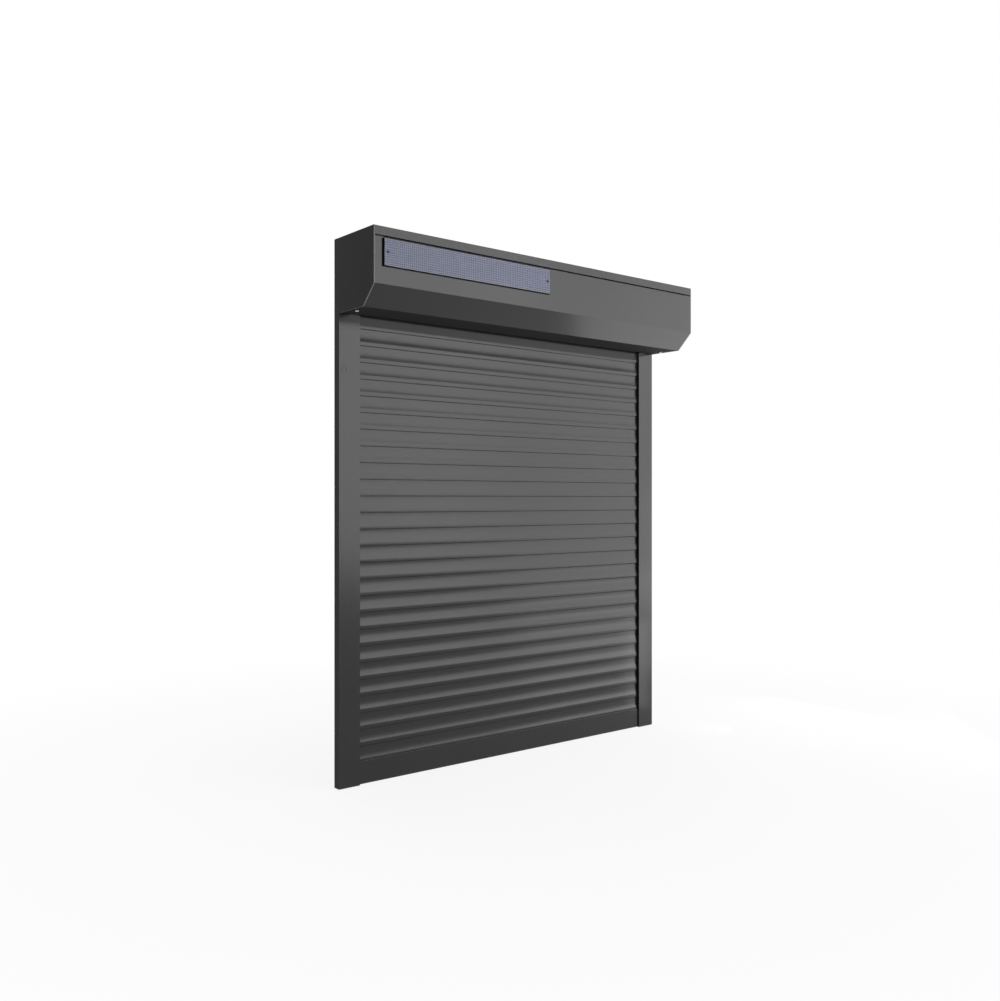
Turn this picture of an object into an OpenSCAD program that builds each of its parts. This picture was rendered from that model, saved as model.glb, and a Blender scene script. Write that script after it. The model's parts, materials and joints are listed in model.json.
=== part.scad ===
// Exterior roller shutter: roller box, guide rails, slat curtain, tube motor and solar panel.
// X runs along the width, -Y is the outdoor side, +Z is up.
// The origin is the centre of the four wall screws, on the wall plane.

/* [Overall] */
// Width across the outer faces of the end caps
overall_w = 1005; // [800:1:1400]
// Length of the guide rails, from the sill to the underside of the box
rail_l = 1037; // [700:1:1046]

/* [Roller box] */
// Height of the box
box_h = 163; // [158:0.5:190]
// Depth of the box, from the wall plane to its front face
box_d = 160; // [156:0.5:190]
// Slanted lower front edge, the same back and down
chamfer = 43; // [30:0.5:50]
// Sheet thickness of the two shells
shell_t = 1.4; // [1:0.1:2]
// Height of the top shell's front lip
lip_h = 18.6; // [16:0.1:22]
// Height of the shadow seam under the lip
seam_h = 3.5; // [2:0.1:5]
// Depth of the shadow seam behind the lip
seam_d = 5; // [3:0.5:6]
// Distance from the wall plane to the rear edge of the cover's underside
throat_d = 30; // [24:0.5:34]
// Height of the cover's hidden stiffening flanges
flange_h = 9; // [6:0.5:12]
// Thickness of the end cap plates
cap_t = 3; // [2.5:0.1:5]
// Width of the end cap rim that the shells sit on
rim_w = 22; // [20:0.5:22]
// Thickness of that rim
rim_t = 2; // [1.5:0.1:3]
// Length of the end cap's spigot in the rail
spigot_l = 40; // [20:1:80]

/* [Guide rails] */
// Width of a rail
rail_w = 53; // [50:0.5:64]
// Depth of a rail, from the wall plane
rail_d = 20; // [19:0.5:21.5]
// Wall thickness of a rail
rail_t = 1.5; // [1.2:0.1:1.8]
// Inner width of the fixing chamber
chamber_w = 22; // [18:0.5:23]
// Distance of the wall screws from the rail's ends
fix_inset = 120; // [70:1:250]
// Diameter of the wall screw holes
fix_d = 6.5; // [5:0.1:9]
// Diameter of the screw access holes in the rail's front
plug_d = 12; // [10:0.5:15]
// Depth of the plugs that close the access holes
plug_l = 5; // [3:0.5:8]
// Width of the seal's foot
seal_w = 3.6; // [2.6:0.1:5]
// Thickness of the ribs that hold the seal
rib_t = 1.2; // [0.8:0.1:1.6]
// Height of the ribs that hold the seal
rib_h = 1.6; // [1:0.1:2.2]
// Thickness of the rail's foot plate
foot_t = 2; // [1.5:0.1:2.5]
// Height of the foot's tongue in the rail
foot_tongue = 20; // [10:1:50]
// Height of the inlet guide above the rail
inlet_h = 28; // [15:1:40]

/* [Curtain] */
// Pitch of the slats
slat_pitch = 37; // [36:0.5:40]
// Skin thickness of a slat
slat_wall = 0.8; // [0.5:0.1:1]
// Depth of the hollow curve in the slat's front face
scoop = 1; // [0.6:0.1:1.4]
// Depth that the slats reach into the rails
engage = 24; // [16:0.5:25]
// Thickness of the slat's hooking tongue
tongue_t = 1.6; // [1.2:0.1:1.8]
// Height of the bottom bar's face
bar_h = 49; // [40:0.5:60]
// Height of the bottom bar above the sill
bar_z = 3; // [2.6:0.1:5]
// Wall thickness of the bottom bar
bar_wall = 1.4; // [1:0.1:2]
// Height by which the bar's front laps over the lowest slat
bar_lap = 4.6; // [3.5:0.1:6]
// Side gap between the bottom bar and the rails
bar_side = 2; // [1:0.5:6]

/* [Winding tube] */
// Width of the octagonal tube across its flats
tube_af = 60; // [56:0.5:66]
// Wall thickness of the tube
tube_t = 1; // [0.6:0.1:1.4]
// Thickness of the end flanges on the tube
flange_t = 3; // [2:0.5:5]
// Number of hanger straps
strap_n = 3; // [2:1:6]
// Width of a hanger strap
strap_w = 22; // [12:1:40]
// Thickness of a hanger strap
strap_t = 0.8; // [0.5:0.1:1.2]
// Diameter of the idle pin
pin_d = 12; // [11:0.1:13]
// Length of the idle end's plug in the tube
idle_l = 46; // [30:1:80]

/* [Motor and bearing] */
// Thickness of the motor bracket and the bearing holder plate
bracket_t = 5; // [4:0.5:8]
// Width of those two plates
bracket_w = 64; // [58:1:80]
// Diameter of the motor head
head_d = 54; // [50:0.5:60]
// Length of the motor head
head_l = 20; // [15:0.5:26]
// Outer diameter of the motor housing
motor_d = 45; // [42:0.5:48]
// Wall thickness of the motor housing
motor_wall = 1.5; // [1:0.1:2.5]
// Length of the motor housing
motor_l = 430; // [300:1:600]
// Width of the motor's drive hexagon across its flats
drive_af = 10; // [8:0.5:12]
// Length of the drive wheel
wheel_l = 20; // [12:1:30]
// Outer diameter of the bearing
bearing_d = 28; // [27:0.1:30]
// Width of the bearing
bearing_w = 8; // [7:0.1:9]
// Diameter of a bearing ball
ball_d = 4.8; // [4.4:0.1:5]
// Number of bearing balls
ball_n = 8; // [6:1:9]

/* [Solar drive] */
// Length of the solar panel
solar_l = 466; // [300:1:600]
// Height of the solar panel
solar_h = 58.5; // [40:0.5:62]
// Distance of the panel from the end of the box
solar_inset = 22.5; // [10:0.5:200]
// Distance of the panel's top edge from the box top
solar_drop = 24.2; // [24:0.1:32]
// Thickness of the panel's tray
tray_t = 5; // [4.5:0.5:10]
// Thickness of the glass laminate let into the tray
glass_t = 2; // [1:0.5:4]
// Diameter of the battery pack
battery_d = 32; // [26:0.5:33]
// Length of the battery pack
battery_l = 260; // [150:1:400]

/* [Fasteners] */
// Thread diameter of the box and bracket screws
screw_d = 4; // [3:0.1:5]
// Thread diameter of the panel screws
solar_screw_d = 3; // [2:0.1:4]
// Distance of the cover screw from the end of the box
cover_screw_x = 17; // [12:0.5:19]
// Distance of the cover screw from the wall plane
cover_screw_y = 66; // [40:1:100]

/* [Clearances] */
// Clearance between pieces that are pushed together
fit = 0.2; // [0.1:0.05:0.3]
// Clearance between pieces that move past each other
run = 0.4; // [0.3:0.05:0.5]
// Radial clearance of shafts in their bores
shaft_fit = 0.08; // [0.03:0.01:0.1]

/* [Hidden] */
$fn = 64;
half_w = overall_w / 2;
origin_z = rail_l / 2;

// Box
box_z = rail_l;
box_top = box_z + box_h;
cap_in = half_w - cap_t;
seam_z = box_top - lip_h;
rim_in = shell_t + fit;
diagonal = sqrt(2) - 1;
axis_y = -box_d / 2;
axis_z = box_z + box_h / 2;

// Rails, as distances from the outer side face
chamber_a = rail_t;
groove_a = 2 * rail_t + chamber_w;
seal_a = rail_w - rib_t - seal_w - 2 * fit;
fix_a = chamber_a + chamber_w / 2;

// Curtain
slat_y = -rail_d / 2;
slat_half = half_w - rail_w + engage;
bar_half = half_w - rail_w - bar_side;
slat_gap = 0.3;
bar_top = bar_z + bar_h;
slat_z = bar_top - bar_lap;
slat_n = ceil((rail_l - slat_z) / slat_pitch);
slat_top = slat_z + slat_n * slat_pitch - slat_gap;

// Slat section, as depth behind the slat's middle plane and height above its lower edge
nose_foot = [-3.5, 0];
nose_low = [-4, 0.6];
nose_high = [-4.2, 8];
nose_bulge = 0.1;
shoulder_low = [-2.4, slat_pitch - 1];
shoulder_high = [-1, slat_pitch - slat_gap];
shoulder_bulge = 0.15;
back_high = [2.2, slat_pitch - 1.5];
back_low = [2.6, 1];
back_foot = [2.2, 0];
back_bulge = 2;
nose_reach = 4.3;
back_reach = 4.45;
tongue_y = shoulder_high.x;
bulb_over = 0.8;
bulb_h = 2.5;
bulb_low = 3.5;
mouth_play = 0.5;
mouth_h = 2.4;
socket_play = 0.4;
hollow_from = 0.05;

// Bottom bar
bar_front = slat_y - nose_reach - run - bar_wall;
bar_back = slat_y + back_reach;
bar_deck = slat_z - slat_gap;
slot_w = 3;
slot_in = 6;
slot_h = 2.2;
bar_mid = (bar_front + bar_back) / 2;
plug_reach = slat_half - 1;
plug_tongue = 18;

// Winding tube and its ends
corner_r = tube_af / 2 / cos(22.5);
tube_in = tube_af - 2 * tube_t;
tube_half = cap_in - bracket_t - head_l - run - flange_t;
tube_flange_d = tube_af + 6;
crown_l = 20;
plate_x = cap_in - bracket_t;
head_x = plate_x - head_l;
motor_r = motor_d / 2;
housing_x = -head_x;
housing_end = housing_x + motor_l;
end_wall = 3;
spigot_af = 30;
head_plug_l = 20;
journal_d = drive_af * 1.3;
journal_in = 15;
wheel_x = housing_end + 3;
core_d = motor_d - 2 * motor_wall - 2 * fit;

// Idle bearing
bearing_out = plate_x - 6;
bearing_in = bearing_out - bearing_w;
bearing_mid = (bearing_in + bearing_out) / 2;
pitch_r = (bearing_d + pin_d) / 4;
land = ball_d * 0.37;
groove_r = ball_d / 2 + 0.1;
cage_r = 1;
cage_w = ball_d + 1.6;
boss_d = bearing_d + 8;
boss_x = bearing_in - 0.5;

// Hanger straps
strap_r = corner_r + 0.35 + strap_t / 2;
strap_from = 150;
strap_end = [slat_y + tongue_y - bulb_over - run - strap_t / 2, slat_top + 0.6];
strap_bend = strap_end + [0, 11];
strap_span = 600;

// Solar panel and battery
solar_x = -half_w + solar_inset;
solar_z = box_top - solar_drop - solar_h;
tray_rim = 0.8;
solar_screw_x = 9;
battery_y = -box_d + 2 * shell_t + seam_d + battery_d / 2 + 1;
battery_z = box_top - shell_t - battery_d / 2 - 2;
battery_x = -380;
foot_w = 18;
foot_at = 50;

// Screws
pan_d = 2 * screw_d;
pan_h = 0.6 * screw_d;
bracket_hole = bracket_w / 2 - 9;
blind = 0.5;
solar_pan_d = 5;
solar_pan_h = 1.2;

// Colours
coat = [0.36, 0.36, 0.37];
coat_dark = [0.27, 0.27, 0.28];
slat_grey = [0.38, 0.38, 0.39];
rubber = [0.06, 0.06, 0.06];
plastic = [0.12, 0.12, 0.13];
zinc = [0.75, 0.76, 0.78];
steel = [0.62, 0.63, 0.65];
panel_blue = [0.36, 0.37, 0.45];

function slat_name(i) = str("slat_", i < 10 ? "0" : "", i);

// Shared shapes

// A point on a shallow bow from a to b, which bulges to the left by s
function on_bow(a, b, s, t) =
  let (d = b - a, side = [-d.y, d.x] / norm(d))
  a + d * t + side * 4 * s * t * (1 - t);

function bow(a, b, s, n, t0 = 0, t1 = 1) =
  [for (i = [0:n]) on_bow(a, b, s, t0 + (t1 - t0) * i / n)];

// The box section, moved inwards by i
function box_outline(i) = [
  [-i, box_z + i],
  [-i, box_top - i],
  [-box_d + i, box_top - i],
  [-box_d + i, box_z + chamfer + diagonal * i],
  [-box_d + chamfer + diagonal * i, box_z + i]
];

module placed() {
  translate([0, 0, -origin_z]) children();
}

// Moves left-hand pieces to the right-hand side
module on_side(side) {
  if (side < 0) children();
  else mirror([1, 0, 0]) children();
}

// A Y-Z section drawn along X
module along_x(x0, x1) {
  translate([x0, 0, 0]) rotate([90, 0, 90]) linear_extrude(x1 - x0) children();
}

// A rail section, drawn from the outer side face of the left rail, extruded along Z
module along_rail(z0, z1) {
  translate([-half_w, 0, z0]) linear_extrude(z1 - z0) children();
}

module rod(x0, x1, r, sides = 64) {
  translate([x0, axis_y, axis_z]) rotate([0, 90, 0]) cylinder(h = x1 - x0, r = r, $fn = sides);
}

// A prism on the tube's axis, given by its width across the flats
module flats(x0, x1, af, sides) {
  turn = 180 / sides;
  translate([x0, axis_y, axis_z]) rotate([0, 90, 0]) rotate(turn)
    cylinder(h = x1 - x0, r = af / 2 / cos(turn), $fn = sides);
}

module hole_y(x, z, d, y0, y1) {
  translate([x, y0, z]) rotate([-90, 0, 0]) cylinder(h = y1 - y0, d = d);
}

// The four corner screws of a bracket plate
module at_bracket_screws() {
  for (dy = [-1, 1], dz = [-1, 1]) translate([0, dy * bracket_hole, dz * bracket_hole]) children();
}

// Roller box

module box_top_shell() {
  color(coat) placed() along_x(-cap_in, cap_in) polygon([
    [0, box_z],
    [0, box_top],
    [-box_d, box_top],
    [-box_d, seam_z],
    [-box_d + shell_t, seam_z],
    [-box_d + shell_t, box_top - shell_t],
    [-shell_t, box_top - shell_t],
    [-shell_t, box_z]
  ]);
}

module cover_sheet() {
  outer = box_outline(0);
  inner = box_outline(shell_t);
  polygon([
    [-box_d, seam_z - seam_h],
    outer[3],
    outer[4],
    [-throat_d, box_z],
    [-throat_d, box_z + shell_t],
    inner[4],
    inner[3],
    [-box_d + shell_t, seam_z - seam_h]
  ]);
}

// The cover's upper flange steps back and reaches up behind the lip, its rear flange stiffens the throat edge
module cover_flanges() {
  front = -box_d + shell_t + seam_d;
  shelf = seam_z - seam_h - shell_t;
  polygon([
    [-box_d + shell_t / 2, shelf - shell_t],
    [front + shell_t, shelf - shell_t],
    [front + shell_t, seam_z + flange_h],
    [front, seam_z + flange_h],
    [front, shelf],
    [-box_d + shell_t / 2, shelf]
  ]);
  translate([-throat_d - shell_t, box_z + shell_t / 2]) square([shell_t, flange_h]);
}

module at_cover_screws() {
  for (side = [-1, 1]) translate([side * (half_w - cover_screw_x), -cover_screw_y, box_z]) children();
}

module at_solar_screws() {
  for (x = [solar_x + solar_screw_x, solar_x + solar_l - solar_screw_x])
    translate([x, -box_d, solar_z + solar_h / 2]) rotate([-90, 0, 0]) children();
}

module box_front_cover() {
  flange_end = cap_in - rim_w - 1;
  color(coat) placed() difference() {
    union() {
      along_x(-cap_in, cap_in) cover_sheet();
      along_x(-flange_end, flange_end) cover_flanges();
    }
    at_cover_screws() translate([0, 0, -1]) cylinder(h = rim_t + 4, d = screw_d + 2 * fit);
    at_solar_screws() translate([0, 0, -1]) cylinder(h = 2 * shell_t + 4, d = solar_screw_d + 2 * fit);
  }
}

// End cap of the left side: plate, rim for the shells and spigot for the rail
module end_cap() {
  difference() {
    union() {
      along_x(-half_w, -cap_in) polygon(box_outline(0));
      along_x(-cap_in - 1, -cap_in + rim_w) difference() {
        polygon(box_outline(rim_in));
        polygon(box_outline(rim_in + rim_t));
      }
      along_rail(box_z - spigot_l, box_z + rim_in + rim_t)
        translate([chamber_a + fit, -rail_d + rail_t + fit])
          square([chamber_w - 2 * fit, rail_d - 2 * rail_t - 2 * fit]);
    }
    translate([-half_w + cover_screw_x, -cover_screw_y, box_z - 1])
      cylinder(h = rim_t + 4, d = screw_d + 2 * fit);
    translate([-half_w + blind, axis_y, axis_z]) at_bracket_screws()
      rotate([0, 90, 0]) cylinder(h = cap_t, d = screw_d + 2 * fit);
  }
}

module end_cap_left() {
  color(coat_dark) placed() end_cap();
}

module end_cap_right() {
  color(coat_dark) placed() on_side(1) end_cap();
}

// Guide rails

// Two ribs on the rail's front or rear wall, with the seal's foot between them
module seal_ribs() {
  for (a = [rail_w - rib_t, seal_a - rib_t]) translate([a, 0]) square([rib_t, rib_h + 0.1]);
}

// Places a strip on the inner side of the rail's front and rear walls
module on_both_walls(lift) {
  translate([0, -rail_d + rail_t - lift]) children();
  translate([0, -rail_t + lift]) mirror([0, 1]) children();
}

module rail_section() {
  difference() {
    translate([0, -rail_d]) square([rail_w, rail_d]);
    translate([chamber_a, -rail_d + rail_t]) square([chamber_w, rail_d - 2 * rail_t]);
    translate([groove_a, -rail_d + rail_t]) square([rail_w, rail_d - 2 * rail_t]);
  }
  on_both_walls(0.1) seal_ribs();
}

fix_heights = [fix_inset, rail_l - fix_inset];

module rail() {
  difference() {
    along_rail(foot_t, rail_l) rail_section();
    for (z = fix_heights) {
      hole_y(-half_w + fix_a, z, fix_d, -rail_t - 1, 1);
      hole_y(-half_w + fix_a, z, plug_d, -rail_d - 1, -rail_d + rail_t + 1);
    }
  }
}

module rail_left() {
  color(coat) placed() rail();
}

module rail_right() {
  color(coat) placed() on_side(1) rail();
}

// A seal strip: foot between the ribs and a lip towards the slat
module seal_section(reach) {
  translate([seal_a + fit, 0]) square([seal_w, rib_h]);
  translate([seal_a + fit + seal_w / 4, 0]) square([seal_w / 2, reach]);
}

module rail_seals() {
  front_reach = rail_d + slat_y - rail_t - nose_reach - run;
  back_reach_in = -slat_y - rail_t - back_reach - run;
  color(rubber) placed() for (side = [-1, 1]) on_side(side) along_rail(foot_t, rail_l) {
    translate([0, -rail_d + rail_t]) seal_section(front_reach);
    translate([0, -rail_t]) mirror([0, 1]) seal_section(back_reach_in);
  }
}

// Foot plate under a rail, which also stops the curtain
module rail_feet() {
  color(plastic) placed() for (side = [-1, 1]) on_side(side) {
    along_rail(0, foot_t) translate([0, -rail_d]) square([rail_w, rail_d]);
    along_rail(foot_t - 0.1, foot_t + foot_tongue)
      translate([chamber_a + fit, -rail_d + rail_t + fit])
        square([chamber_w - 2 * fit, rail_d - 2 * rail_t - 2 * fit]);
  }
}

module rail_plugs() {
  color(coat_dark) placed() for (side = [-1, 1], z = fix_heights)
    hole_y(side * (half_w - fix_a), z, plug_d - 2 * fit, -rail_d, -rail_d + plug_l);
}

// Flared cheeks above each rail lead the slats into the groove
module inlet_guides() {
  a0 = cap_t + rim_w + 0.5;
  wall = 2.2;
  front = -rail_d + fit;
  flare = 1.5;
  play = 0.8;
  color(plastic) placed() for (side = [-1, 1]) on_side(side) difference() {
    along_x(-half_w + a0, -half_w + rail_w - 1) polygon([
      [front, box_z],
      [front, box_z + inlet_h],
      [-shell_t - fit, box_z + inlet_h],
      [-shell_t - fit, box_z]
    ]);
    along_x(-half_w + a0 + wall, -half_w + rail_w) polygon([
      [slat_y - nose_reach - play, box_z - 1],
      [slat_y - nose_reach - play, box_z + inlet_h / 2],
      [slat_y - nose_reach - play - flare, box_z + inlet_h + 1],
      [slat_y + back_reach + play + flare, box_z + inlet_h + 1],
      [slat_y + back_reach + play, box_z + inlet_h / 2],
      [slat_y + back_reach + play, box_z - 1]
    ]);
  }
}

// Curtain

// The tongue that hooks a slat into the one above, rising from a height over the slat's lower edge
function hook_outline(from) =
  let (
    low = slat_pitch + bulb_low,
    high = low + bulb_h,
    front = tongue_y,
    back = tongue_y + tongue_t
  )
  [
    [front, from],
    [front, low],
    [front - bulb_over, low],
    [front - bulb_over, high],
    [back + bulb_over, high],
    [back + bulb_over, low],
    [back, low],
    [back, from]
  ];

// The socket in a slat's lower edge that takes the hook of the one below
module slat_socket() {
  mouth_w = tongue_t + 2 * mouth_play;
  room = bulb_over + socket_play;
  translate([tongue_y - mouth_play, -1]) square([mouth_w, mouth_h + 1.5]);
  translate([tongue_y - room, mouth_h]) square([tongue_t + 2 * room, bulb_low + bulb_h + 0.6 - mouth_h]);
}

// A slat's outer shape: hollow front face, rounded nose and shoulder, hook and bulged back
function slat_outline() = concat(
  [nose_foot],
  bow(nose_low, nose_high, nose_bulge, 8),
  bow(nose_high, shoulder_low, -scoop, 11),
  bow(shoulder_low, shoulder_high, shoulder_bulge, 5),
  hook_outline(slat_pitch - slat_gap),
  bow(back_high, back_low, back_bulge, 10),
  [back_foot]
);

// The hollow inside the skins, above the socket
function slat_hollow() =
  let (
    front = bow(nose_high, shoulder_low, -scoop, 10, hollow_from, 1),
    back = bow(back_high, back_low, back_bulge, 8, 0.08, 0.79)
  )
  concat([for (p = front) p + [slat_wall, 0]], [for (p = back) p - [slat_wall, 0]]);

module slat_section() {
  difference() {
    polygon(slat_outline());
    polygon(slat_hollow());
    slat_socket();
  }
}

module slat(i) {
  color(slat_grey) placed()
    along_x(-slat_half, slat_half)
      translate([slat_y, slat_z + (i - 1) * slat_pitch]) slat_section();
}

// The bar's outer shape: box section, front lip and the hook for the lowest slat
function bar_outline() = concat(
  [
    [bar_front, bar_z],
    [bar_front, bar_top],
    [bar_front + bar_wall, bar_top],
    [bar_front + bar_wall, bar_deck]
  ],
  [for (p = hook_outline(slat_pitch - slat_gap)) p + [slat_y, slat_z - slat_pitch]],
  [
    [bar_back, bar_deck],
    [bar_back, bar_z]
  ]
);

module bar_section() {
  inner_low = bar_z + slot_h + 2 * bar_wall;
  difference() {
    polygon(bar_outline());
    translate([bar_front + bar_wall, inner_low])
      square([bar_back - bar_front - 2 * bar_wall, bar_deck - bar_wall - inner_low]);
    translate([bar_mid - slot_w / 2, bar_z - 1]) square([slot_w, bar_wall + 2]);
    translate([bar_mid - slot_in / 2, bar_z + bar_wall]) square([slot_in, slot_h]);
  }
}

module bottom_bar() {
  color(coat) placed() along_x(-bar_half, bar_half) bar_section();
}

module bar_seal() {
  root_w = slot_in - 2 * fit;
  neck_w = slot_w - 2 * fit;
  root_z = bar_z + bar_wall + fit;
  color(rubber) placed() along_x(-bar_half, bar_half) polygon([
    [bar_mid - neck_w, run],
    [bar_mid - slot_w, bar_z],
    [bar_mid - neck_w / 2, bar_z],
    [bar_mid - neck_w / 2, root_z],
    [bar_mid - root_w / 2, root_z],
    [bar_mid - root_w / 2, root_z + slot_h - 2 * fit],
    [bar_mid + root_w / 2, root_z + slot_h - 2 * fit],
    [bar_mid + root_w / 2, root_z],
    [bar_mid + neck_w / 2, root_z],
    [bar_mid + neck_w / 2, bar_z],
    [bar_mid + slot_w, bar_z],
    [bar_mid + neck_w, run]
  ]);
}

// Plugs in the bar's ends, which run in the rails and land on the feet
module bar_end_plugs() {
  inner_low = bar_z + slot_h + 2 * bar_wall + fit;
  inner_high = bar_deck - bar_wall - fit;
  head_low = foot_t + slat_gap;
  color(plastic) placed() for (side = [-1, 1]) on_side(side) {
    along_x(-bar_half - 0.1, -bar_half + plug_tongue)
      translate([bar_front + bar_wall + fit, inner_low])
        square([bar_back - bar_front - 2 * bar_wall - 2 * fit, inner_high - inner_low]);
    along_x(-plug_reach, -bar_half)
      translate([slat_y - nose_reach, head_low])
        square([nose_reach + back_reach, bar_deck - head_low]);
  }
}

// Winding tube

module winding_tube() {
  color(zinc) placed() difference() {
    flats(-tube_half, tube_half, tube_af, 8);
    flats(-tube_half - 1, tube_half + 1, tube_in, 8);
  }
}

// A strap lies on the tube, leaves it on the wall side and reaches down to the top slat
function strap_path() =
  let (
    centre = [axis_y, axis_z],
    away = strap_bend - centre,
    leave = atan2(away.y, away.x) + acos(strap_r / norm(away)),
    steps = 20
  )
  concat(
    [for (i = [0:steps])
      let (a = strap_from + (leave - strap_from) * i / steps)
      centre + strap_r * [cos(a), sin(a)]],
    [strap_bend, strap_end]
  );

function path_side(p, i) =
  let (
    before = p[max(i - 1, 0)],
    after = p[min(i + 1, len(p) - 1)],
    d = after - before
  )
  [-d.y, d.x] / norm(d);

function band(p, t) = concat(
  [for (i = [0:len(p) - 1]) p[i] + path_side(p, i) * t / 2],
  [for (i = [len(p) - 1:-1:0]) p[i] - path_side(p, i) * t / 2]
);

module hanger_straps() {
  color(steel) placed() for (i = [0:strap_n - 1])
    let (x = -strap_span / 2 + strap_span * i / (strap_n - 1))
      along_x(x - strap_w / 2, x + strap_w / 2) polygon(band(strap_path(), strap_t));
}

// Tube motor on the left

module bracket_plate(x0) {
  translate([x0, axis_y - bracket_w / 2, axis_z - bracket_w / 2]) cube([bracket_t, bracket_w, bracket_w]);
}

module bracket_holes(x0) {
  translate([x0 - 1, axis_y, axis_z]) at_bracket_screws()
    rotate([0, 90, 0]) cylinder(h = bracket_t + 2, d = screw_d + 2 * fit);
}

module motor_bracket() {
  color(zinc) placed() difference() {
    bracket_plate(-cap_in);
    bracket_holes(-cap_in);
    flats(-cap_in - 1, -plate_x + 1, spigot_af + 2 * fit, 6);
  }
}

// Head with its key for the bracket, the plug for the housing and a blank cable inlet
module motor_head() {
  inlet_d = 7;
  color(plastic) placed() difference() {
    union() {
      flats(-cap_in + fit, -plate_x + 0.1, spigot_af, 6);
      rod(-plate_x, housing_x, head_d / 2);
      rod(housing_x - 0.1, housing_x + head_plug_l, motor_r - motor_wall - fit);
    }
    translate([-plate_x + head_l / 2, axis_y, axis_z - head_d / 2 - 1]) cylinder(h = 12, d = inlet_d);
  }
}

module motor_housing() {
  color([0.85, 0.86, 0.87]) placed() difference() {
    rod(housing_x, housing_end, motor_r);
    rod(housing_x - 1, housing_end - end_wall, motor_r - motor_wall);
    rod(housing_end - end_wall - 1, housing_end + 1, journal_d / 2 + shaft_fit);
  }
}

// Ring that carries the tube's motor end and turns on the housing
module motor_crown() {
  color(plastic) placed() difference() {
    union() {
      rod(-tube_half - flange_t, -tube_half, tube_flange_d / 2);
      flats(-tube_half - 0.1, -tube_half + crown_l, tube_in - 2 * fit, 8);
    }
    rod(-tube_half - flange_t - 1, -tube_half + crown_l + 1, motor_r + run / 2);
  }
}

module gear_motor() {
  core_x = housing_x + head_plug_l + fit;
  core_end = housing_end - end_wall - fit;
  waist = core_x + motor_l * 0.55;
  color(steel) placed() difference() {
    union() {
      rod(core_x, waist, core_d / 2);
      rod(waist - 0.1, waist + 10, core_d / 2 - 4);
      rod(waist + 9.9, core_end, core_d / 2);
    }
    rod(core_end - journal_in - fit, core_end + 1, journal_d / 2 + shaft_fit);
  }
}

module output_shaft() {
  color(steel) placed() {
    rod(housing_end - end_wall - fit - journal_in, wheel_x - 1, journal_d / 2);
    flats(wheel_x - 1.1, wheel_x + wheel_l, drive_af, 6);
  }
}

module drive_wheel() {
  light_d = 9;
  color(plastic) placed() difference() {
    flats(wheel_x, wheel_x + wheel_l, tube_in - 2 * fit, 8);
    flats(wheel_x - 1, wheel_x + wheel_l + 1, drive_af + 2 * fit, 6);
    for (a = [0:45:315]) translate([wheel_x - 1, axis_y, axis_z]) rotate([a, 0, 0])
      translate([0, tube_in / 3, 0]) rotate([0, 90, 0]) cylinder(h = wheel_l + 2, d = light_d);
  }
}

// Idle end on the right

module idle_cap() {
  color(plastic) placed() difference() {
    union() {
      rod(tube_half, tube_half + flange_t, tube_flange_d / 2);
      flats(tube_half - idle_l, tube_half + 0.1, tube_in - 2 * fit, 8);
    }
    rod(tube_half - idle_l - 1, tube_half + flange_t + 1, pin_d / 2 + shaft_fit);
  }
}

module idle_pin() {
  color(steel) placed() rod(tube_half - idle_l + 4, bearing_out + 0.5, pin_d / 2);
}

module ring_groove() {
  translate([bearing_mid, axis_y, axis_z]) rotate([0, 90, 0])
    rotate_extrude() translate([pitch_r, 0]) circle(r = groove_r);
}

module bearing_outer_ring() {
  color(steel) placed() difference() {
    rod(bearing_in, bearing_out, bearing_d / 2);
    rod(bearing_in - 1, bearing_out + 1, pitch_r + land);
    ring_groove();
  }
}

module bearing_inner_ring() {
  color(steel) placed() difference() {
    rod(bearing_in, bearing_out, pitch_r - land);
    rod(bearing_in - 1, bearing_out + 1, pin_d / 2 + shaft_fit / 2);
    ring_groove();
  }
}

module at_balls() {
  for (i = [0:ball_n - 1])
    translate([bearing_mid, axis_y, axis_z]) rotate([360 * i / ball_n, 0, 0]) translate([0, pitch_r, 0])
      children();
}

module bearing_balls() {
  color(steel) placed() {
    at_balls() sphere(d = ball_d);
    difference() {
      rod(bearing_mid - cage_w / 2, bearing_mid + cage_w / 2, pitch_r + cage_r);
      rod(bearing_mid - cage_w, bearing_mid + cage_w, pitch_r - cage_r);
      at_balls() sphere(r = groove_r);
    }
  }
}

module bearing_holder() {
  color(zinc) placed() difference() {
    union() {
      bracket_plate(plate_x);
      rod(boss_x, plate_x + 0.1, boss_d / 2);
    }
    bracket_holes(plate_x);
    rod(boss_x - 1, bearing_out + fit, bearing_d / 2 + shaft_fit / 2);
    rod(bearing_out, plate_x, pitch_r);
  }
}

// Solar panel and battery

module solar_tray() {
  color(rubber) placed() difference() {
    translate([solar_x, -box_d - tray_t, solar_z]) cube([solar_l, tray_t, solar_h]);
    translate([solar_x + tray_rim, -box_d - tray_t - 1, solar_z + tray_rim])
      cube([solar_l - 2 * tray_rim, glass_t + 1, solar_h - 2 * tray_rim]);
    at_solar_screws() translate([0, 0, -tray_t - 1]) cylinder(h = tray_t + 2, d = solar_screw_d + 2 * fit);
  }
}

module solar_laminate() {
  edge = tray_rim + fit;
  color(panel_blue) placed() difference() {
    translate([solar_x + edge, -box_d - tray_t, solar_z + edge])
      cube([solar_l - 2 * edge, glass_t, solar_h - 2 * edge]);
    at_solar_screws() translate([0, 0, -tray_t - 1]) cylinder(h = glass_t + 2, d = solar_screw_d + 2 * fit);
  }
}

module solar_screws() {
  color(rubber) placed() at_solar_screws() {
    translate([0, 0, -tray_t - solar_pan_h]) cylinder(h = solar_pan_h, d = solar_pan_d);
    translate([0, 0, -tray_t - 0.1]) cylinder(h = tray_t + shell_t + 2, d = solar_screw_d);
  }
}

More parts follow.
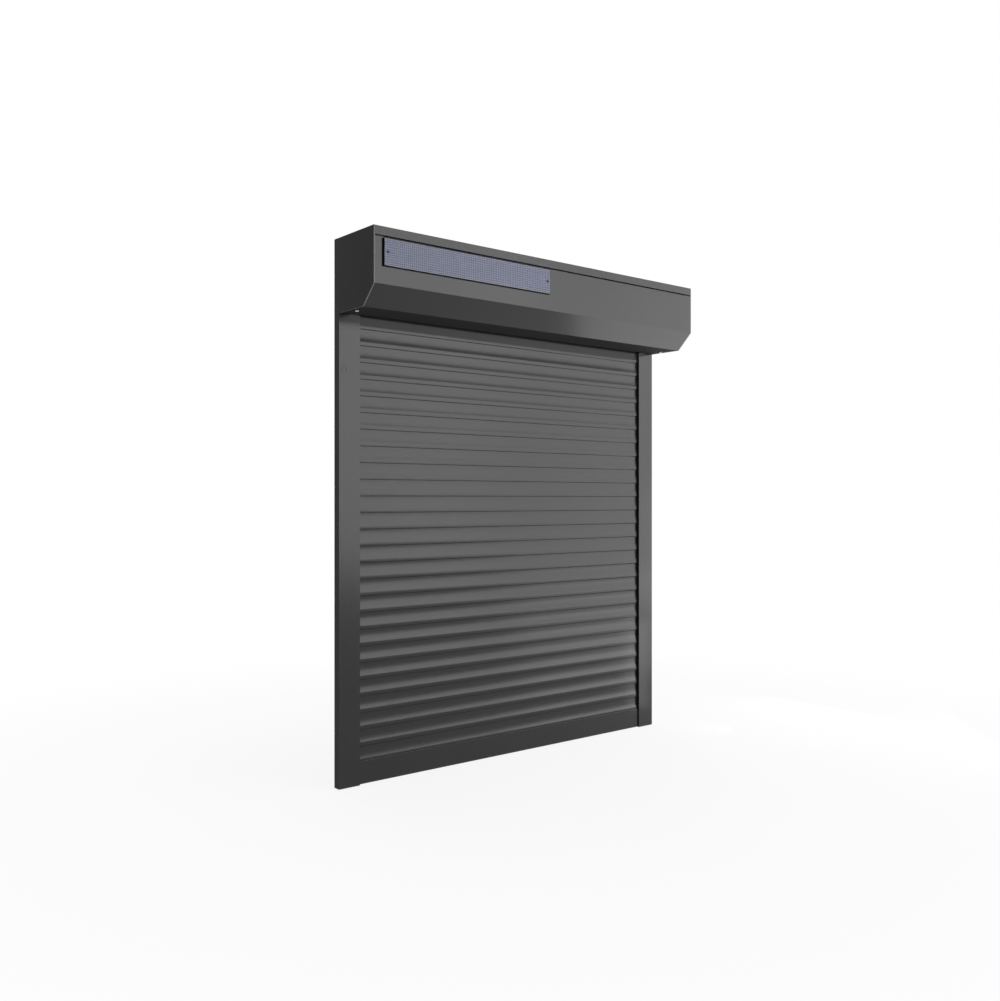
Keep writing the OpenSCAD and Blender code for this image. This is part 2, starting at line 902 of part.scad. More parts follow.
// Round pack in the box's upper front corner, with two feet under the top shell
module battery_pack() {
  top = box_top - shell_t - fit;
  color(plastic) placed() {
    translate([battery_x, battery_y, battery_z]) rotate([0, 90, 0]) cylinder(h = battery_l, d = battery_d);
    for (x = [battery_x + foot_at, battery_x + battery_l - foot_at])
      translate([x - foot_w / 2, battery_y - foot_w / 2, battery_z]) cube([foot_w, foot_w, top - battery_z]);
  }
}

// Screws of the cover, the motor bracket and the bearing holder

module pan_screw(length) {
  translate([0, 0, -pan_h]) cylinder(h = pan_h, d = pan_d);
  translate([0, 0, -0.1]) cylinder(h = length, d = screw_d);
}

module box_screws() {
  cover_length = shell_t + fit + rim_t + 3;
  bracket_length = bracket_t + cap_t - blind - fit;
  color(zinc) placed() {
    at_cover_screws() pan_screw(cover_length);
    for (side = [-1, 1]) on_side(side)
      translate([-plate_x, axis_y, axis_z]) at_bracket_screws() rotate([0, -90, 0]) pan_screw(bracket_length);
  }
}

box_top_shell();
box_front_cover();
end_cap_left();
end_cap_right();
rail_left();
rail_right();
rail_seals();
rail_feet();
rail_plugs();
inlet_guides();
winding_tube();
hanger_straps();
motor_bracket();
motor_head();
motor_housing();
motor_crown();
gear_motor();
output_shaft();
drive_wheel();
idle_cap();
idle_pin();
bearing_outer_ring();
bearing_inner_ring();
bearing_balls();
bearing_holder();
bottom_bar();
bar_seal();
bar_end_plugs();
solar_tray();
solar_laminate();
solar_screws();
box_screws();
battery_pack();
for (i = [1:slat_n]) slat(i);
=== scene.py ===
import json
import math

import bmesh
import bpy
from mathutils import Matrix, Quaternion, Vector

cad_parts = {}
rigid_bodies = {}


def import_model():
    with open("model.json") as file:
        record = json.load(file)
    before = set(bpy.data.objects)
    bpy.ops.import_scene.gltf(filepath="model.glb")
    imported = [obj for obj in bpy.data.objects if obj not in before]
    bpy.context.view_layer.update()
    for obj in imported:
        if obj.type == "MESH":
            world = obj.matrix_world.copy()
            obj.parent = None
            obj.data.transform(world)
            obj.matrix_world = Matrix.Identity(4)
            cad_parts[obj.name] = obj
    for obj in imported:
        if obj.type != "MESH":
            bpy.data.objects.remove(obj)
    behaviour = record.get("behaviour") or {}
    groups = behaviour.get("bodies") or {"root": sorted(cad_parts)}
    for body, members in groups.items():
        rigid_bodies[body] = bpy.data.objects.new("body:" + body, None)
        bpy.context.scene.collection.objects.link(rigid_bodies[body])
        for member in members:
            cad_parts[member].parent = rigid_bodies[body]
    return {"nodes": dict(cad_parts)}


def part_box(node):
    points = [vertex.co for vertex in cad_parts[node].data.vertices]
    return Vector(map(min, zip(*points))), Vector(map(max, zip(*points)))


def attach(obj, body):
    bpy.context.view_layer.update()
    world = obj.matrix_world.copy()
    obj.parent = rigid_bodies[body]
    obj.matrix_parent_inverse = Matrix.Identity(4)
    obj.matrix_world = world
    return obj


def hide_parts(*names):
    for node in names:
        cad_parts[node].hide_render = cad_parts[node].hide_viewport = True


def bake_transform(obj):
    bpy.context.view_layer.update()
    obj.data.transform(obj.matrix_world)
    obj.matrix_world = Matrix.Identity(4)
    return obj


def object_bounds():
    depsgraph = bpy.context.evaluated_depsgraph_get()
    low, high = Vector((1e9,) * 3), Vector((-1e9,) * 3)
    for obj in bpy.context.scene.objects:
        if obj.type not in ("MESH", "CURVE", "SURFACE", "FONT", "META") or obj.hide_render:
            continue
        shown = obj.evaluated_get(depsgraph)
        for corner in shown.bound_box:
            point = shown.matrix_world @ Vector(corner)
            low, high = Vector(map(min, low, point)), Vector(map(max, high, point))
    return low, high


for old in list(bpy.data.objects):
    bpy.data.objects.remove(old)
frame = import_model()
cad_low, cad_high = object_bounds()
nodes = frame["nodes"]
SLATS = sorted(n for n in nodes if n.startswith("slat_"))


# Node building helpers

def add(tree, kind, inputs=None, **settings):
    """Adds a node. An input is a value, or a socket to link to."""
    node = tree.nodes.new(kind)
    for key, value in settings.items():
        setattr(node, key, value)
    for key, value in (inputs or {}).items():
        if isinstance(value, bpy.types.NodeSocket):
            tree.links.new(value, node.inputs[key])
        else:
            node.inputs[key].default_value = value
    return node


def sums(tree, operation, *values):
    return add(tree, "ShaderNodeMath", dict(enumerate(values)), operation=operation).outputs[0]


def ranged(tree, value, span, onto):
    """Maps the values in span onto another pair of ends."""
    node = add(tree, "ShaderNodeMapRange", {
        "Value": value, "From Min": span[0], "From Max": span[1], "To Min": onto[0], "To Max": onto[1]})
    return node.outputs["Result"]


def mixed(tree, factor, first, second):
    """Mixes two colours. The mix node has sockets of the same name, so they go by number."""
    return add(tree, "ShaderNodeMix", {0: factor, 6: first, 7: second}, data_type="RGBA").outputs[2]


def noise(tree, at, scale, detail=2, stretch=(1, 1, 1)):
    moved = add(tree, "ShaderNodeMapping", {"Vector": at, "Scale": stretch}).outputs[0]
    node = add(tree, "ShaderNodeTexNoise", {"Vector": moved, "Scale": scale, "Detail": detail})
    return node.outputs[0]


def axes(tree, vector):
    """The three parts of a vector."""
    return add(tree, "ShaderNodeSeparateXYZ", {"Vector": vector}).outputs


def shade(colour, by):
    return (colour[0] * by, colour[1] * by, colour[2] * by, 1)


def start(name):
    mat = bpy.data.materials.new(name)
    mat.use_nodes = True
    tree = mat.node_tree
    at = add(tree, "ShaderNodeTexCoord").outputs["Object"]
    return mat, tree, tree.nodes["Principled BSDF"], at


def joined(tree, value, shader, name):
    tree.links.new(value, shader.inputs[name])


def bumped(tree, shader, height, strength, distance):
    node = add(tree, "ShaderNodeBump", {"Height": height, "Strength": strength, "Distance": distance})
    joined(tree, node.outputs[0], shader, "Normal")


def upward(tree):
    """One where a surface faces up, nought where it is steep or faces down."""
    normal = add(tree, "ShaderNodeNewGeometry").outputs["Normal"]
    return ranged(tree, axes(tree, normal)["Z"], span=(0.3, 1.0), onto=(0.0, 1.0))


# Materials

# Most of a noise's values lie between these
MIDDLE = (0.3, 0.7)
DUST = (0.2, 0.195, 0.185, 1)
DUST_COVER = 0.1


def coat(name, colour, rough, peel, gloss=0.3, stretch=(1, 1, 1)):
    """Sprayed or coil coated metal: cloudy tone, fine peel, dust where it can settle."""
    mat, tree, shader, at = start(name)
    cloud = noise(tree, at, scale=7, detail=5, stretch=stretch)
    speck = noise(tree, at, scale=160, detail=3, stretch=stretch)
    tone = mixed(tree, cloud, shade(colour, 0.84), shade(colour, 1.16))
    specks = ranged(tree, speck, span=(0.35, 0.7), onto=(0.0, DUST_COVER))
    settled = sums(tree, "MULTIPLY", upward(tree), specks)
    joined(tree, mixed(tree, settled, tone, DUST), shader, "Base Color")
    joined(tree, ranged(tree, speck, MIDDLE, onto=(rough - 0.03, rough + 0.035)), shader, "Roughness")
    shader.inputs["Specular IOR Level"].default_value = gloss
    bumped(tree, shader, noise(tree, at, scale=peel), strength=0.006, distance=0.0002)
    return mat


def plastic(name, colour, rough, grain, gloss=0.5):
    """Moulded plastic or rubber: cloudy tone and a fine grain."""
    mat, tree, shader, at = start(name)
    cloud = noise(tree, at, scale=14, detail=4)
    fine = noise(tree, at, scale=grain)
    joined(tree, mixed(tree, cloud, shade(colour, 0.75), shade(colour, 1.3)), shader, "Base Color")
    joined(tree, ranged(tree, fine, MIDDLE, onto=(rough - 0.08, rough + 0.08)), shader, "Roughness")
    shader.inputs["Specular IOR Level"].default_value = gloss
    bumped(tree, shader, fine, strength=0.2, distance=0.0004)
    return mat


def bare_metal(name, colour, rough, scale, stretch):
    """Drawn, turned or ground metal: fine lines lengthways or round."""
    mat, tree, shader, at = start(name)
    lines = noise(tree, at, scale, detail=4, stretch=stretch)
    cloud = noise(tree, at, scale=20, detail=3)
    tone = mixed(tree, cloud, shade(colour, 0.82), shade(colour, 1.12))
    drawn = ranged(tree, lines, span=(0.4, 0.75), onto=(0.0, 0.5))
    joined(tree, mixed(tree, drawn, tone, shade(colour, 0.6)), shader, "Base Color")
    joined(tree, ranged(tree, lines, MIDDLE, onto=(rough - 0.08, rough + 0.1)), shader, "Roughness")
    shader.inputs["Metallic"].default_value = 1.0
    bumped(tree, shader, lines, strength=0.1, distance=0.0002)
    return mat


def zinc_sheet(name, colour, rough):
    """Hot dipped steel with spangle."""
    mat, tree, shader, at = start(name)
    flakes = add(tree, "ShaderNodeTexVoronoi", {"Vector": at, "Scale": 140.0}).outputs["Color"]
    grey = add(tree, "ShaderNodeSeparateColor", {"Color": flakes}).outputs[0]
    cloud = noise(tree, at, scale=25, detail=4)
    tone = mixed(tree, grey, shade(colour, 0.78), shade(colour, 1.15))
    stain = ranged(tree, cloud, span=(0.5, 0.8), onto=(0.0, 0.5))
    joined(tree, mixed(tree, stain, tone, shade(colour, 0.6)), shader, "Base Color")
    joined(tree, ranged(tree, grey, span=(0, 1), onto=(rough - 0.08, rough + 0.1)), shader, "Roughness")
    shader.inputs["Metallic"].default_value = 1.0
    bumped(tree, shader, cloud, strength=0.08, distance=0.0003)
    return mat


CELL_ROWS = 11
# Half the width of the upright and the level lines between the cells, as shares of the cells' pitch
LINE_UPRIGHT, LINE_LEVEL = 0.1, 0.08
PANEL_RIM = 0.0017
CELL_DARK = (0.012, 0.018, 0.066, 1)
CELL_LIGHT = (0.047, 0.064, 0.166, 1)
LINE_TONE = (0.2, 0.238, 0.38, 1)
RIM_TONE = (0.17, 0.18, 0.24, 1)


def solar_cells(name):
    """Glass over small dark cells with pale lines between them and a pale edge line."""
    low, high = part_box("solar_laminate")
    pitch = (high.z - low.z) / CELL_ROWS
    mat, tree, shader, at = start(name)
    x, _, z = axes(tree, at)
    from_left = sums(tree, "SUBTRACT", x, low.x)
    from_right = sums(tree, "SUBTRACT", high.x, x)
    from_foot = sums(tree, "SUBTRACT", z, low.z)
    from_top = sums(tree, "SUBTRACT", high.z, z)
    across = sums(tree, "DIVIDE", from_left, pitch)
    up = sums(tree, "DIVIDE", from_foot, pitch)

    def lines(value, width):
        return sums(tree, "LESS_THAN", sums(tree, "PINGPONG", value, 0.5), width)

    grid = sums(tree, "MAXIMUM", lines(across, LINE_UPRIGHT), lines(up, LINE_LEVEL))
    side = sums(tree, "MINIMUM", from_left, from_right)
    end = sums(tree, "MINIMUM", from_foot, from_top)
    rim = sums(tree, "LESS_THAN", sums(tree, "MINIMUM", side, end), PANEL_RIM)
    place = add(tree, "ShaderNodeCombineXYZ", {
        "X": sums(tree, "FLOOR", across), "Y": sums(tree, "FLOOR", up)}).outputs[0]
    cell = add(tree, "ShaderNodeTexWhiteNoise", {"Vector": place}).outputs["Value"]
    crystal = noise(tree, at, scale=900, detail=3)
    blue = mixed(tree, sums(tree, "MULTIPLY", cell, crystal), CELL_DARK, CELL_LIGHT)
    drawn = mixed(tree, grid, blue, LINE_TONE)
    joined(tree, mixed(tree, rim, drawn, RIM_TONE), shader, "Base Color")
    joined(tree, ranged(tree, crystal, MIDDLE, onto=(0.16, 0.26)), shader, "Roughness")
    shader.inputs["Specular IOR Level"].default_value = 0.15
    shader.inputs["Coat Weight"].default_value = 0.4
    shader.inputs["Coat Roughness"].default_value = 0.08
    bumped(tree, shader, noise(tree, at, scale=40), strength=0.02, distance=0.0005)
    return mat


BATTERY_CELL = 0.065
SLEEVE_RING = 0.02


def sleeve(name):
    """Shrink sleeve round battery cells, with faint rings where the cells meet."""
    mat, tree, shader, at = start(name)
    along = sums(tree, "DIVIDE", axes(tree, at)["X"], BATTERY_CELL)
    ring = sums(tree, "LESS_THAN", sums(tree, "PINGPONG", along, 0.5), SLEEVE_RING)
    cloud = noise(tree, at, scale=60, detail=4)
    skin = mixed(tree, cloud, (0.02, 0.022, 0.03, 1), (0.045, 0.048, 0.06, 1))
    joined(tree, mixed(tree, ring, skin, (0.012, 0.012, 0.014, 1)), shader, "Base Color")
    joined(tree, ranged(tree, cloud, MIDDLE, onto=(0.25, 0.38)), shader, "Roughness")
    bumped(tree, shader, cloud, strength=0.1, distance=0.0006)
    return mat


GREY = (0.024, 0.0242, 0.0248)
# A matte, nearly glossless copy of the box paint for the box's downward faces, so that they show dark as in
# shade: painted shade. Its grey is lighter to make up for the lost gloss.
UNDER_SHADE_GREY = (0.036, 0.0363, 0.0372)
# A lighter grey for the bevelled edges of the box, rails and bar: partly worn paint, partly a painted
# highlight along the edges
WORN_AND_HIGHLIGHT = (0.11, 0.111, 0.114)
# A much lighter grey for the edges of the end caps' plates: a painted highlight along the caps' outline
PLATE_EDGE_HIGHLIGHT = (0.16, 0.161, 0.165)
box_coat = coat("box_coat", GREY, rough=0.16, peel=700)
# A duller copy of the paint for the end caps. It also goes on the rails' side faces so that they look darker:
# there it is painted shade.
cap_coat = coat("cap_coat", GREY, rough=0.35, peel=700, gloss=0.06)
under_shade_coat = coat("under_shade_coat", UNDER_SHADE_GREY, rough=0.7, peel=700, gloss=0.03)
rail_coat = coat("rail_coat", GREY, rough=0.2, peel=700)
slat_coat = coat("slat_coat", GREY, rough=0.21, peel=500, stretch=(0.15, 1, 1))
bar_coat = coat("bar_coat", GREY, rough=0.2, peel=700)
edge_wear_and_highlight_coat = coat("edge_wear_and_highlight_coat", WORN_AND_HIGHLIGHT, rough=0.3, peel=900)
rim_highlight_coat = coat("rim_highlight_coat", PLATE_EDGE_HIGHLIGHT, rough=0.3, peel=900)
cap_plastic = coat("cap_plastic", GREY, rough=0.21, peel=900)
seal_rubber = plastic("seal_rubber", (0.012, 0.012, 0.012), rough=0.7, grain=1200)
black_plastic = plastic("black_plastic", (0.016, 0.016, 0.017), rough=0.48, grain=1500)
panel_frame = plastic("panel_frame", (0.006, 0.006, 0.0066), rough=0.55, grain=1500, gloss=0.1)
galvanised = zinc_sheet("galvanised", (0.5, 0.51, 0.52), rough=0.38)
spring_steel = bare_metal("spring_steel", (0.3, 0.31, 0.34), rough=0.32, scale=60, stretch=(40, 1, 1))
motor_tube = bare_metal("motor_tube", (0.7, 0.71, 0.72), rough=0.3, scale=60, stretch=(1, 20, 20))
machined_steel = bare_metal("machined_steel", (0.5, 0.5, 0.51), rough=0.25, scale=50, stretch=(30, 1, 1))
bearing_steel = bare_metal("bearing_steel", (0.62, 0.62, 0.63), rough=0.15, scale=50, stretch=(40, 1, 1))
zinc_screw = bare_metal("zinc_screw", (0.72, 0.73, 0.75), rough=0.28, scale=300, stretch=(1, 1, 4))
black_screw = bare_metal("black_screw", (0.006, 0.006, 0.0063), rough=0.5, scale=300, stretch=(1, 4, 1))
panel_cells = solar_cells("panel_cells")
battery_wrap = sleeve("battery_wrap")


# Surface finish of the carried over solids

WELD_REACH = 1e-5
FLAT_ANGLE = math.radians(0.5)
EDGE_ANGLE = math.radians(40)
EDGE_STEPS = 2
SMOOTH_ANGLE = math.radians(32)
# Thickness of the end caps' plates, as in the solids
CAP_PLATE = 0.003


def tree_of(name):
    tree = bpy.data.node_groups.new(name, "GeometryNodeTree")
    tree.interface.new_socket("Geometry", in_out="INPUT", socket_type="NodeSocketGeometry")
    tree.interface.new_socket("Geometry", in_out="OUTPUT", socket_type="NodeSocketGeometry")
    entry = tree.nodes.new("NodeGroupInput")
    leave = tree.nodes.new("NodeGroupOutput")
    return tree, entry.outputs[0], leave.inputs[0]


def compared(tree, operation, value, limit):
    node = add(tree, "FunctionNodeCompare", {0: value, 1: limit}, operation=operation, data_type="FLOAT")
    return node.outputs[0]


def weld_group():
    """Joins corners that lie in one place, and drops the normals that came with the solids."""
    tree, shape, out = tree_of("weld_corners")
    plain = add(tree, "GeometryNodeRemoveAttribute", {"Geometry": shape, "Name": "custom_normal"})
    one = add(tree, "GeometryNodeMergeByDistance", {"Geometry": plain.outputs[0], "Distance": WELD_REACH})
    tree.links.new(one.outputs[0], out)
    return tree


def smooth_group():
    """Shades smooth over small angles and keeps the others sharp."""
    tree, shape, out = tree_of("smooth_by_angle")
    angle = add(tree, "GeometryNodeInputMeshEdgeAngle").outputs[0]
    low = compared(tree, "LESS_EQUAL", angle, SMOOTH_ANGLE)
    faces = add(tree, "GeometryNodeSetShadeSmooth", {"Geometry": shape}, domain="FACE").outputs[0]
    edges = add(tree, "GeometryNodeSetShadeSmooth", {"Geometry": faces, "Shade Smooth": low}, domain="EDGE")
    tree.links.new(edges.outputs[0], out)
    return tree


def facing_group(name, measure, least):
    """Gives the second material slot to faces whose normal and place measure more than least."""
    tree, shape, out = tree_of(name)
    normal = axes(tree, add(tree, "GeometryNodeInputNormal").outputs[0])
    place = axes(tree, add(tree, "GeometryNodeInputPosition").outputs[0])
    chosen = compared(tree, "GREATER_THAN", measure(tree, normal, place), least)
    painted = add(tree, "GeometryNodeSetMaterialIndex", {
        "Geometry": shape, "Selection": chosen, "Material Index": 1})
    tree.links.new(painted.outputs[0], out)
    return tree


def sideways(tree, normal, place):
    return sums(tree, "ABSOLUTE", normal["X"])


def downward(tree, normal, place):
    return sums(tree, "MULTIPLY", normal["Z"], -1.0)


def edgeways(tree, normal, place):
    """How far a face of an outer plate turns away from the plate's own side."""
    outward = sums(tree, "ABSOLUTE", place["X"])
    on_plate = sums(tree, "GREATER_THAN", outward, cad_high.x - CAP_PLATE)
    turned = sums(tree, "SUBTRACT", 1.0, sideways(tree, normal, place))
    return sums(tree, "MULTIPLY", on_plate, turned)


WELD = weld_group()
SMOOTH = smooth_group()
# On the rails, faces turned towards either end get the duller cap paint: painted shade
SIDE_SHADE = facing_group("painted_shade_sides", sideways, least=0.9)
# Downward faces get the glossless copy of the paint: painted shade
UNDER_SHADE = facing_group("painted_shade_undersides", downward, least=0.9)
# The edges of the end caps' outer plates get the lighter grey: a painted highlight
RIM_HIGHLIGHT = facing_group("plate_edge_highlights", edgeways, least=0.5)


def dress(names, mat, edge=None, edge_mat=None, face_mat=None, faces=None):
    """Gives CAD nodes a material and smooth shading over small angles.

    With edge, their edges are broken by that width, in edge_mat. The group in faces picks what gets face_mat.
    """
    for name in names:
        obj = nodes[name]
        obj.data.materials.clear()
        for each in (mat, face_mat, edge_mat):
            if each:
                obj.data.materials.append(each)
        obj.modifiers.new("weld", "NODES").node_group = WELD
        if edge:
            flat = obj.modifiers.new("flat", "DECIMATE")
            flat.decimate_type = "DISSOLVE"
            flat.angle_limit = FLAT_ANGLE
            bevel = obj.modifiers.new("edge", "BEVEL")
            bevel.width = edge
            bevel.segments = EDGE_STEPS
            bevel.limit_method = "ANGLE"
            bevel.angle_limit = EDGE_ANGLE
            if edge_mat:
                bevel.material = len(obj.data.materials) - 1
            obj.modifiers.new("close", "NODES").node_group = WELD
        if faces:
            obj.modifiers.new("faces", "NODES").node_group = faces
        obj.modifiers.new("smooth", "NODES").node_group = SMOOTH
        if edge:
            even = obj.modifiers.new("even", "WEIGHTED_NORMAL")
            even.keep_sharp = True
            even.weight = 100


dress(["box_top_shell", "box_front_cover"], box_coat,
      edge=0.0006, edge_mat=edge_wear_and_highlight_coat, face_mat=under_shade_coat, faces=UNDER_SHADE)
dress(["end_cap_left", "end_cap_right"], cap_coat, edge=0.0013, face_mat=rim_highlight_coat, faces=RIM_HIGHLIGHT)
dress(["rail_left", "rail_right"], rail_coat,
      edge=0.0008, edge_mat=edge_wear_and_highlight_coat, face_mat=cap_coat, faces=SIDE_SHADE)
dress(SLATS, slat_coat)
dress(["bottom_bar"], bar_coat, edge=0.0004, edge_mat=edge_wear_and_highlight_coat)
dress(["rail_seals", "bar_seal"], seal_rubber)
dress(["rail_feet", "inlet_guides", "motor_head", "motor_crown", "drive_wheel", "idle_cap",
       "bar_end_plugs"], black_plastic, edge=0.0004)
dress(["rail_plugs"], cap_plastic, edge=0.0004)
dress(["winding_tube", "motor_bracket", "bearing_holder"], galvanised, edge=0.0003)
dress(["motor_housing"], motor_tube, edge=0.0004)
dress(["gear_motor", "output_shaft", "idle_pin"], machined_steel, edge=0.0003)
dress(["bearing_outer_ring", "bearing_inner_ring", "bearing_balls"], bearing_steel)
dress(["solar_tray"], panel_frame, edge=0.0005)
dress(["solar_laminate"], panel_cells, edge=0.0003)
dress(["battery_pack"], battery_wrap, edge=0.0006)


# Screws with domed heads and a cross recess

SCREW_SIDES = 48
HEAD_RINGS = 12
# Shares of the head's height or radius
RIM_HEIGHT, RECESS_DEPTH, RECESS_REACH, RECESS_ARM = 0.45, 0.55, 0.62, 0.16
# Slant of the tip as a share of the shank's radius
TIP = 0.7
PAN_HEAD = {"head_r": 0.004, "head_h": 0.0024, "shank_r": 0.002}
PANEL_HEAD = {"head_r": 0.0025, "head_h": 0.0012, "shank_r": 0.0015}
# Where the screws sit, as in the solids
COVER_SCREW_X, COVER_SCREW_Y = 0.4855, -0.066
COVER_SHANK = 0.0065
BRACKET_FACE_X = 0.4945
TUBE_AXIS_Y, TUBE_AXIS_Z = -0.08, 0.6
HOLE_OFFSET = 0.023
BRACKET_SHANK = 0.0072


def screw_into(form, seat, inward, shank_l, head_r, head_h, shank_r):
    """Adds one screw: seat is the middle of the head's underside, inward the way the shank goes."""
    turn = Vector(inward).to_track_quat("Z", "Y")
    sunk = RECESS_DEPTH * head_h
    tip = TIP * shank_r

    def dome(r):
        bulge = math.sqrt(max(0.0, 1 - (r / head_r) ** 2))
        return -head_h * (RIM_HEIGHT + (1 - RIM_HEIGHT) * bulge)

    def recess(r, a):
        across = min(abs(r * math.sin(a)), abs(r * math.cos(a)))
        return sunk if r < RECESS_REACH * head_r and across < RECESS_ARM * head_r else 0.0

    def ring(r, height):
        angles = [2 * math.pi * i / SCREW_SIDES for i in range(SCREW_SIDES)]
        points = [Vector((r * math.cos(a), r * math.sin(a), height(r, a))) for a in angles]
        return [form.verts.new(Vector(seat) + turn @ point) for point in points]

    head = [ring(k * head_r / HEAD_RINGS, lambda r, a: dome(r) + recess(r, a))
            for k in range(1, HEAD_RINGS + 1)]
    profile = ((head_r, 0.0), (shank_r, 0.0), (shank_r, shank_l - tip), (shank_r - tip, shank_l))
    rings = head + [ring(r, lambda r, a: z) for r, z in profile]
    sides = [(i, (i + 1) % SCREW_SIDES) for i in range(SCREW_SIDES)]
    for low, high in zip(rings, rings[1:]):
        for i, j in sides:
            form.faces.new((low[i], high[i], high[j], low[j]))
    middle = form.verts.new(Vector(seat) + turn @ Vector((0, 0, dome(0) + sunk)))
    for i, j in sides:
        form.faces.new((middle, rings[0][i], rings[0][j]))
    form.faces.new(list(reversed(rings[-1])))


def shown(name, form, mat):
    """Makes a smooth shaded piece of a finished form."""
    mesh = bpy.data.meshes.new(name)
    form.to_mesh(mesh)
    form.free()
    mesh.materials.append(mat)
    piece = bpy.data.objects.new(name, mesh)
    bpy.context.scene.collection.objects.link(piece)
    piece.modifiers.new("smooth", "NODES").node_group = SMOOTH
    return piece


def screws(name, node, mat, size, places):
    form = bmesh.new()
    for seat, inward, shank_l in places:
        screw_into(form, seat, inward, shank_l, **size)
    bmesh.ops.recalc_face_normals(form, faces=form.faces[:])
    piece = shown(name, form, mat)
    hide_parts(node)
    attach(piece, "frame")


def box_screw_places():
    """One screw up into the cover and four out through the bracket, at each end."""
    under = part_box("box_screws")[0].z + PAN_HEAD["head_h"]
    places = []
    for side in (-1, 1):
        places.append(((side * COVER_SCREW_X, COVER_SCREW_Y, under), (0, 0, 1), COVER_SHANK))
        for y in (TUBE_AXIS_Y - HOLE_OFFSET, TUBE_AXIS_Y + HOLE_OFFSET):
            for z in (TUBE_AXIS_Z - HOLE_OFFSET, TUBE_AXIS_Z + HOLE_OFFSET):
                places.append(((side * BRACKET_FACE_X, y, z), (side, 0, 0), BRACKET_SHANK))
    return places


def panel_screw_places():
    low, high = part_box("solar_screws")
    head_r, head_h = PANEL_HEAD["head_r"], PANEL_HEAD["head_h"]
    middle = (low.z + high.z) / 2
    shank_l = high.y - low.y - head_h
    return [((x, low.y + head_h, middle), (0, 1, 0), shank_l) for x in (low.x + head_r, high.x - head_r)]


screws("cover_and_bracket_screws", "box_screws", zinc_screw, PAN_HEAD, box_screw_places())
screws("panel_screws", "solar_screws", black_screw, PANEL_HEAD, panel_screw_places())


# Hanger straps, which bend between the tube and the top slat

STRAP_CUT = 0.006


def straps():
    """The solids' straps, cut across every few millimetres."""
    form = bmesh.new()
    form.from_mesh(nodes["hanger_straps"].data)
    bmesh.ops.remove_doubles(form, verts=form.verts, dist=WELD_REACH)
    low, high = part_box("hanger_straps")
    for i in range(1, int((high.z - low.z) / STRAP_CUT)):
        bmesh.ops.bisect_plane(form, geom=form.verts[:] + form.edges[:] + form.faces[:],
                               plane_co=(0, 0, low.z + i * STRAP_CUT), plane_no=(0, 0, 1))
    for face in form.faces:
        face.smooth = True
    piece = shown("straps", form, spring_steel)
    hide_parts("hanger_straps")
    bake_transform(piece)


straps()


# Floor, light and camera

WHITE = (1, 1, 1, 1)
FLOOR_HALF = 14
FLOOR_GAP = 0.0004
# The share of plain white in the floor, near the part and away from it, and the distances where they hold
FLOOR_WHITE = (0.88, 1.0)
FLOOR_FADE = (0.4, 1.8)


def white_rays(tree):
    """One for the rays that show the white background: from the camera, mirrored or through glass."""
    path = add(tree, "ShaderNodeLightPath")
    seen = sums(tree, "MAXIMUM", path.outputs["Is Camera Ray"], path.outputs["Is Glossy Ray"])
    return sums(tree, "MAXIMUM", seen, path.outputs["Is Transmission Ray"])


def floor():
    mesh = bpy.data.meshes.new("floor")
    form = bmesh.new()
    bmesh.ops.create_grid(form, x_segments=8, y_segments=8, size=FLOOR_HALF)
    form.to_mesh(mesh)
    form.free()
    obj = bpy.data.objects.new("floor", mesh)
    obj.location.z = cad_low.z - FLOOR_GAP
    bpy.context.scene.collection.objects.link(obj)
    mat, tree, shader, at = start("floor")
    tone = noise(tree, at, scale=3, detail=3)
    joined(tree, mixed(tree, tone, (0.86, 0.86, 0.86, 1), (0.9, 0.9, 0.9, 1)), shader, "Base Color")
    shader.inputs["Roughness"].default_value = 0.9
    shader.inputs["Specular IOR Level"].default_value = 0.1
    away = add(tree, "ShaderNodeVectorMath", {0: at}, operation="LENGTH").outputs["Value"]
    share = sums(tree, "MULTIPLY", white_rays(tree), ranged(tree, away, FLOOR_FADE, FLOOR_WHITE))
    white = add(tree, "ShaderNodeEmission", {"Color": WHITE, "Strength": 1.0})
    both = add(tree, "ShaderNodeMixShader", {0: share, 1: shader.outputs[0], 2: white.outputs[0]})
    tree.links.new(both.outputs[0], tree.nodes["Material Output"].inputs["Surface"])
    mesh.materials.append(mat)


def world(fill):
    """White to look at, and a weaker fill as light."""
    sky = bpy.data.worlds.new("studio")
    sky.use_nodes = True
    tree = sky.node_tree
    tree.nodes.clear()
    soft = add(tree, "ShaderNodeBackground", {"Color": WHITE, "Strength": fill})
    white = add(tree, "ShaderNodeBackground", {"Color": WHITE, "Strength": 1.0})
    both = add(tree, "ShaderNodeMixShader", {
        0: white_rays(tree), 1: soft.outputs[0], 2: white.outputs[0]})
    out = add(tree, "ShaderNodeOutputWorld", {"Surface": both.outputs[0]})
    out.is_active_output = True
    bpy.context.scene.world = sky


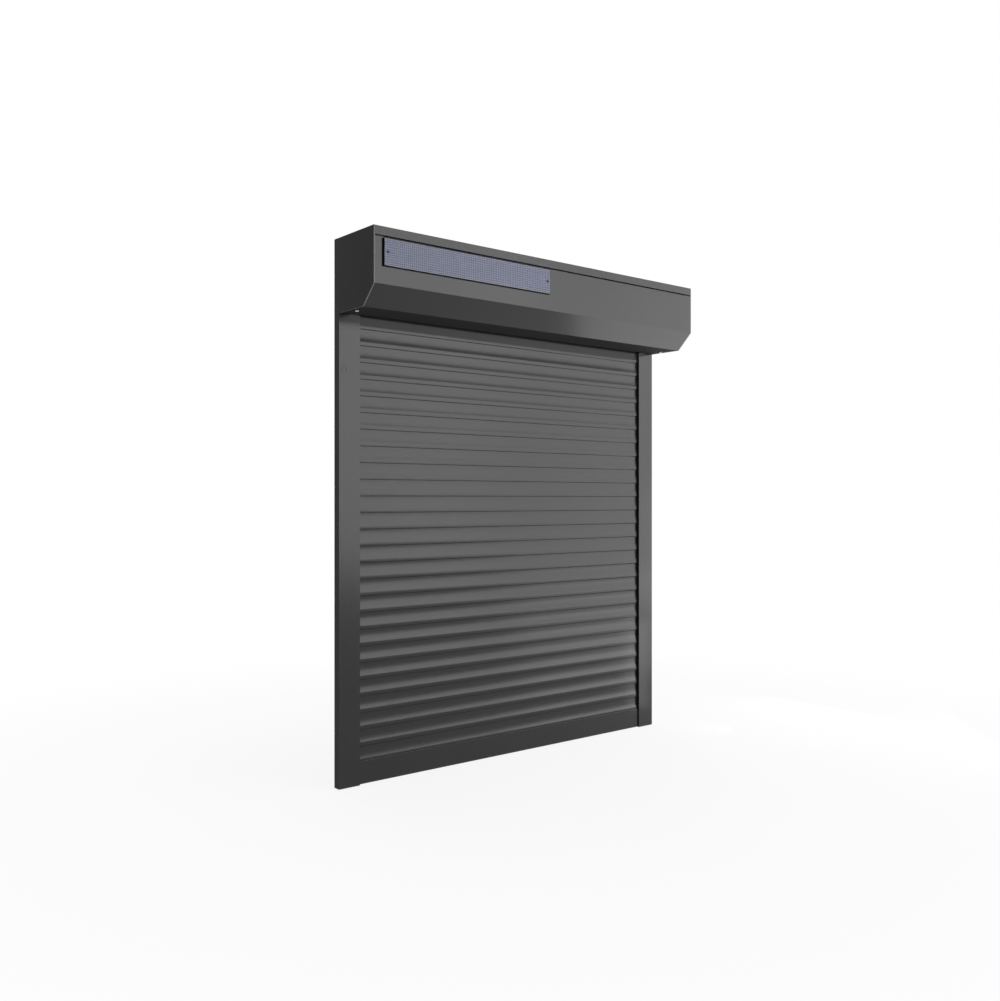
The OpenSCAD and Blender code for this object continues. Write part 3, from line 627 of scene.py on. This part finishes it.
def lamp(name, at, aim, size, radiance, roll=0.0):
    """A soft box that the camera doesn't see. Roll turns it about the way it shines."""
    data = bpy.data.lights.new(name, "AREA")
    data.shape = "RECTANGLE"
    data.size, data.size_y = size
    data.energy = radiance * math.pi * size[0] * size[1]
    obj = bpy.data.objects.new(name, data)
    obj.location = at
    turn = (Vector(aim) - Vector(at)).to_track_quat("-Z", "Y")
    obj.rotation_euler = (turn @ Quaternion((0, 0, 1), math.radians(roll))).to_euler()
    obj.visible_camera = False
    bpy.context.scene.collection.objects.link(obj)


def camera():
    """The photo's camera, level and to the left of the part."""
    view = bpy.data.cameras.new("camera")
    view.sensor_fit = "HORIZONTAL"
    view.sensor_width = 36
    view.lens = 36.395
    view.shift_y = -0.0014
    obj = bpy.data.objects.new("camera", view)
    obj.location = (-1.629, -1.938, 0.1135)
    obj.rotation_euler = (math.radians(90), 0, math.radians(-39.472))
    bpy.context.scene.collection.objects.link(obj)
    bpy.context.scene.camera = obj


floor()
world(fill=0.12)
# Two large boxes that the front mirrors
lamp("front_box_left", at=(1.41, -3.375, 0.789), aim=(-0.49, -0.375, 0.789),
     size=(2.0, 2.17), radiance=3.7, roll=-10)
lamp("front_box_right", at=(2.824, -2.479, 0.464), aim=(0.924, 0.521, 0.464),
     size=(1.4, 2.17), radiance=2.8, roll=-10)
# Light from above, from behind and on both ends
lamp("top_box", at=(0, -0.4, 2.7), aim=(0, -0.3, 0), size=(1.8, 1.2), radiance=2.6)
lamp("back_box", at=(0.6, 3.2, 0.9), aim=(0, 0, 0.1), size=(2.6, 2.2), radiance=2.6)
lamp("left_box", at=(-3.2, 1.0, 0.4), aim=(-0.5, -0.1, 0.3), size=(1.4, 1.4), radiance=2.0)
lamp("right_box", at=(3.2, 1.0, 0.4), aim=(0.5, -0.1, 0.3), size=(1.4, 1.4), radiance=2.0)
# Small boxes for the slanted cover edge, the lower slats, the right rail's foot and the slats under the box
lamp("side_box", at=(1.1, -0.25, -0.18), aim=(0.2, -0.25, -0.18), size=(0.5, 0.66), radiance=2.1)
lamp("low_box", at=(1.05, -0.72, -0.33), aim=(0.4, -0.05, -0.33), size=(0.7, 0.36), radiance=1.2)
lamp("foot_box", at=(0.635, -0.19, -0.385), aim=(0.475, -0.05, -0.385), size=(0.05, 0.26), radiance=1.7)
lamp("under_box", at=(0, -0.05, 0.5175), aim=(0, -0.05, 0), size=(0.95, 0.068), radiance=1.2)
camera()
bpy.context.scene.view_settings.view_transform = "Standard"
